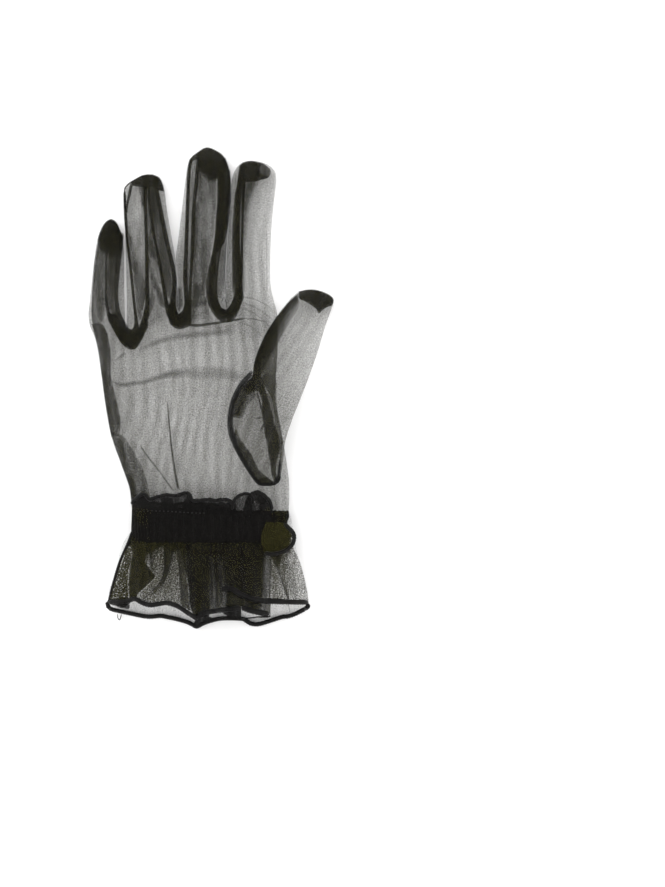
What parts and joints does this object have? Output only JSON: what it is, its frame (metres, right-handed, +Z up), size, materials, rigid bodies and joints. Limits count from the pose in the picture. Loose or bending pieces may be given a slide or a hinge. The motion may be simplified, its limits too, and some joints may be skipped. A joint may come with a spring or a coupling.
{
  "type": "mesh glove",
  "caption": "Short sheer mesh dress glove lying palm up, with open fingers and thumb, side strips between the fingers, a banded wrist and a gathered ruffle cuff.",
  "frame": {"origin": "under the middle of the glove, on the surface that it lies on", "axes": "+Y towards the fingertips, +X towards the thumb, +Z up out of the palm"},
  "size_m": [0.1212, 0.2405, 0.0248],
  "materials": {
    "mesh": "sheer black net, crisp and matt",
    "side_mesh": "sheer black net, darker where seam edges lie double",
    "ruffle_mesh": "sheer black net in many gathered layers",
    "band": "tightly gathered black net over elastic",
    "hem_thread": "black overlocked thread, slightly shiny"
  },
  "bodies": {
    "root": {"trank_palm": "mesh", "trank_back": "mesh", "fourchette_little_ring": "side_mesh", "fourchette_ring_middle": "side_mesh", "fourchette_middle_index": "side_mesh", "thumb": "mesh", "cuff_ruffle": "ruffle_mesh", "wrist_band": "band", "rolled_hem": "hem_thread"}
  },
  "joints": []
}
